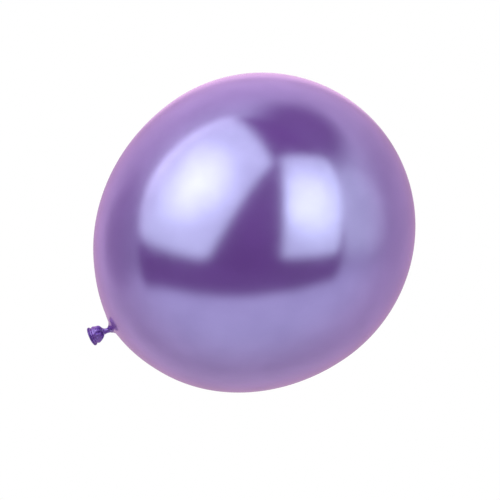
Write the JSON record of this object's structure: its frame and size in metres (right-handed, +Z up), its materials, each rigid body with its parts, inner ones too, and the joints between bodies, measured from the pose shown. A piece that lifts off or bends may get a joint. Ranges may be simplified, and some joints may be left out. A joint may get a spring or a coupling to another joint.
{
  "type": "latex balloon",
  "caption": "Round chrome-purple latex party balloon, blown up and tied, lying with its knotted neck and rolled-rim tail hanging down.",
  "frame": {"origin": "middle of the small flat that the balloon's weight presses into the envelope where it lies on the table", "axes": "+Z up from the table; the neck, knot and tail point towards -X and downwards, so +X is the crown's side; +Y completes the frame, and XZ is the plane of symmetry"},
  "size_m": [0.3139, 0.2898, 0.2987],
  "materials": {
    "envelope_skin": "mirror-like metallic pearl skin, stretched thin",
    "crown_skin": "metallic pearl skin, thicker and a little deeper in colour",
    "throat_skin": "pleated metallic skin",
    "neck_skin": "unstretched skin, deep satin purple with a metallic sheen",
    "knot_skin": "unstretched skin, deep satin purple, tightly folded",
    "tail_skin": "unstretched skin, satin purple with a metallic sheen",
    "bead_skin": "rolled skin, satin purple"
  },
  "bodies": {
    "envelope_body": {"envelope": "envelope_skin", "crown_spot": "crown_skin", "neck_throat": "throat_skin"},
    "stem_body": {"neck_stem": "neck_skin"},
    "knot_body": {"knot_core": "knot_skin", "knot_wrap": "knot_skin", "knot_gathers": "knot_skin"},
    "tail_body": {"tail_skirt": "tail_skin", "rolled_bead": "bead_skin"}
  },
  "joints": [
    {"name": "neck_nod", "type": "hinge", "parent": "envelope_body", "child": "stem_body", "pos_m": [-0.12423, 0, 0.05205], "axis": [0, 1, 0], "range_deg": [-50, 20], "stiffness_Nm_per_rad": 0.0003},
    {"name": "knot_sway", "type": "hinge", "parent": "stem_body", "child": "knot_body", "pos_m": [-0.12714, 0, 0.0513], "axis": [-0.3502, 0, 0.9367], "range_deg": [-35, 35], "stiffness_Nm_per_rad": 0.0003},
    {"name": "tail_nod", "type": "hinge", "parent": "knot_body", "child": "tail_body", "pos_m": [-0.13341, 0, 0.04895], "axis": [0, 1, 0], "range_deg": [-22, 30], "stiffness_Nm_per_rad": 0.0002}
  ]
}
